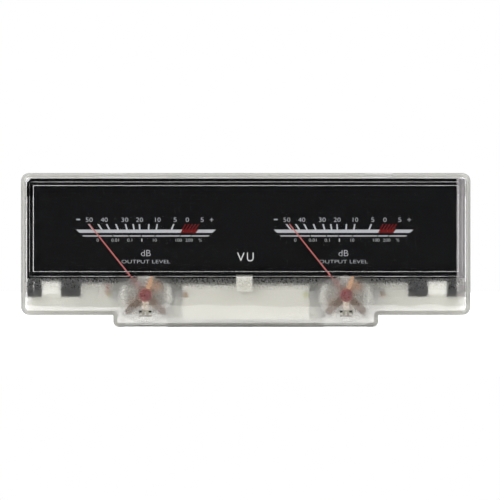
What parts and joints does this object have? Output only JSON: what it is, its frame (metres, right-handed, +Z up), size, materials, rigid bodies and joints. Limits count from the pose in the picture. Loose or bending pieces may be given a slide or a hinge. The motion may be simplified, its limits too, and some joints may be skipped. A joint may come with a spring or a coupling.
{
  "type": "analog vu meter",
  "caption": "Wide analog level meter: moving-coil pointers over a black decibel dial, behind a clear moulded cover with a frosted lower band.",
  "frame": {"origin": "under the middle of the case, on the plane it stands on, half way through its depth", "axes": "+X to the right as the dial is read, +Y to the back, +Z up; the window faces -Y"},
  "size_m": [0.134, 0.024, 0.0459],
  "materials": {
    "clear_plastic": "gloss",
    "milky_plastic": "satin",
    "dial_paint": "matte",
    "guide_plastic": "satin",
    "board": "satin",
    "lamp": "gloss",
    "ceramic": "matte",
    "steel": "satin",
    "tinned_pin": "gloss",
    "nickel_iron": "satin",
    "magnet": "satin",
    "cast_alloy": "satin",
    "brass": "satin",
    "bronze": "satin",
    "copper": "gloss",
    "red_lacquer": "gloss",
    "red_paint": "satin",
    "rubber": "matte",
    "insulation": "satin"
  },
  "bodies": {
    "case": {"front_cover": "clear_plastic", "rear_shell": "milky_plastic", "dial_plate": "dial_paint", "light_guide": "guide_plastic", "lamp_board": "board", "lamp_leds": "lamp", "lamp_resistors": "ceramic", "lamp_screws": "steel", "lamp_solder_pins": "tinned_pin", "left_yoke_ring": "nickel_iron", "left_core_magnet": "magnet", "left_core_spacers": "cast_alloy", "left_front_bridge": "bronze", "left_rear_bridge": "brass", "left_front_jewel_screw": "red_lacquer", "left_rear_jewel_screw": "brass", "left_rear_lock_nut": "brass", "left_rear_hairspring": "bronze", "left_stop_posts": "steel", "left_stop_sleeves": "rubber", "left_bridge_screws": "steel", "left_mount_screws": "brass", "left_lead_wires": "insulation", "left_solder_pins": "tinned_pin", "right_yoke_ring": "nickel_iron", "right_core_magnet": "magnet", "right_core_spacers": "cast_alloy", "right_front_bridge": "bronze", "right_rear_bridge": "brass", "right_front_jewel_screw": "red_lacquer", "right_rear_jewel_screw": "brass", "right_rear_lock_nut": "brass", "right_rear_hairspring": "bronze", "right_stop_posts": "steel", "right_stop_sleeves": "rubber", "right_bridge_screws": "steel", "right_mount_screws": "brass", "right_lead_wires": "insulation", "right_solder_pins": "tinned_pin"},
    "left_zero": {"left_front_hairspring": "bronze", "left_zero_lever": "milky_plastic"},
    "left_coil": {"left_pointer": "red_paint", "left_balance_weights": "brass", "left_front_pivot": "steel", "left_rear_pivot": "steel", "left_coil_former": "cast_alloy", "left_coil_winding": "copper"},
    "right_zero": {"right_front_hairspring": "bronze", "right_zero_lever": "milky_plastic"},
    "right_coil": {"right_pointer": "red_paint", "right_balance_weights": "brass", "right_front_pivot": "steel", "right_rear_pivot": "steel", "right_coil_former": "cast_alloy", "right_coil_winding": "copper"}
  },
  "joints": [
    {"name": "left_pointer_hinge", "type": "hinge", "parent": "case", "child": "left_coil", "pos_m": [-0.03, 0, 0.00945], "axis": [0, 1, 0], "range_deg": [-3, 86], "stiffness_Nm_per_rad": 0.00001, "deforming": ["left_front_hairspring", "left_rear_hairspring"]},
    {"name": "left_zero_hinge", "type": "hinge", "parent": "case", "child": "left_zero", "pos_m": [-0.03, 0, 0.00945], "axis": [0, 1, 0], "range_deg": [-8, 8], "deforming": ["left_front_hairspring"]},
    {"name": "right_pointer_hinge", "type": "hinge", "parent": "case", "child": "right_coil", "pos_m": [0.03, 0, 0.00945], "axis": [0, 1, 0], "range_deg": [-3, 86], "stiffness_Nm_per_rad": 0.00001, "deforming": ["right_front_hairspring", "right_rear_hairspring"]},
    {"name": "right_zero_hinge", "type": "hinge", "parent": "case", "child": "right_zero", "pos_m": [0.03, 0, 0.00945], "axis": [0, 1, 0], "range_deg": [-8, 8], "deforming": ["right_front_hairspring"]}
  ]
}
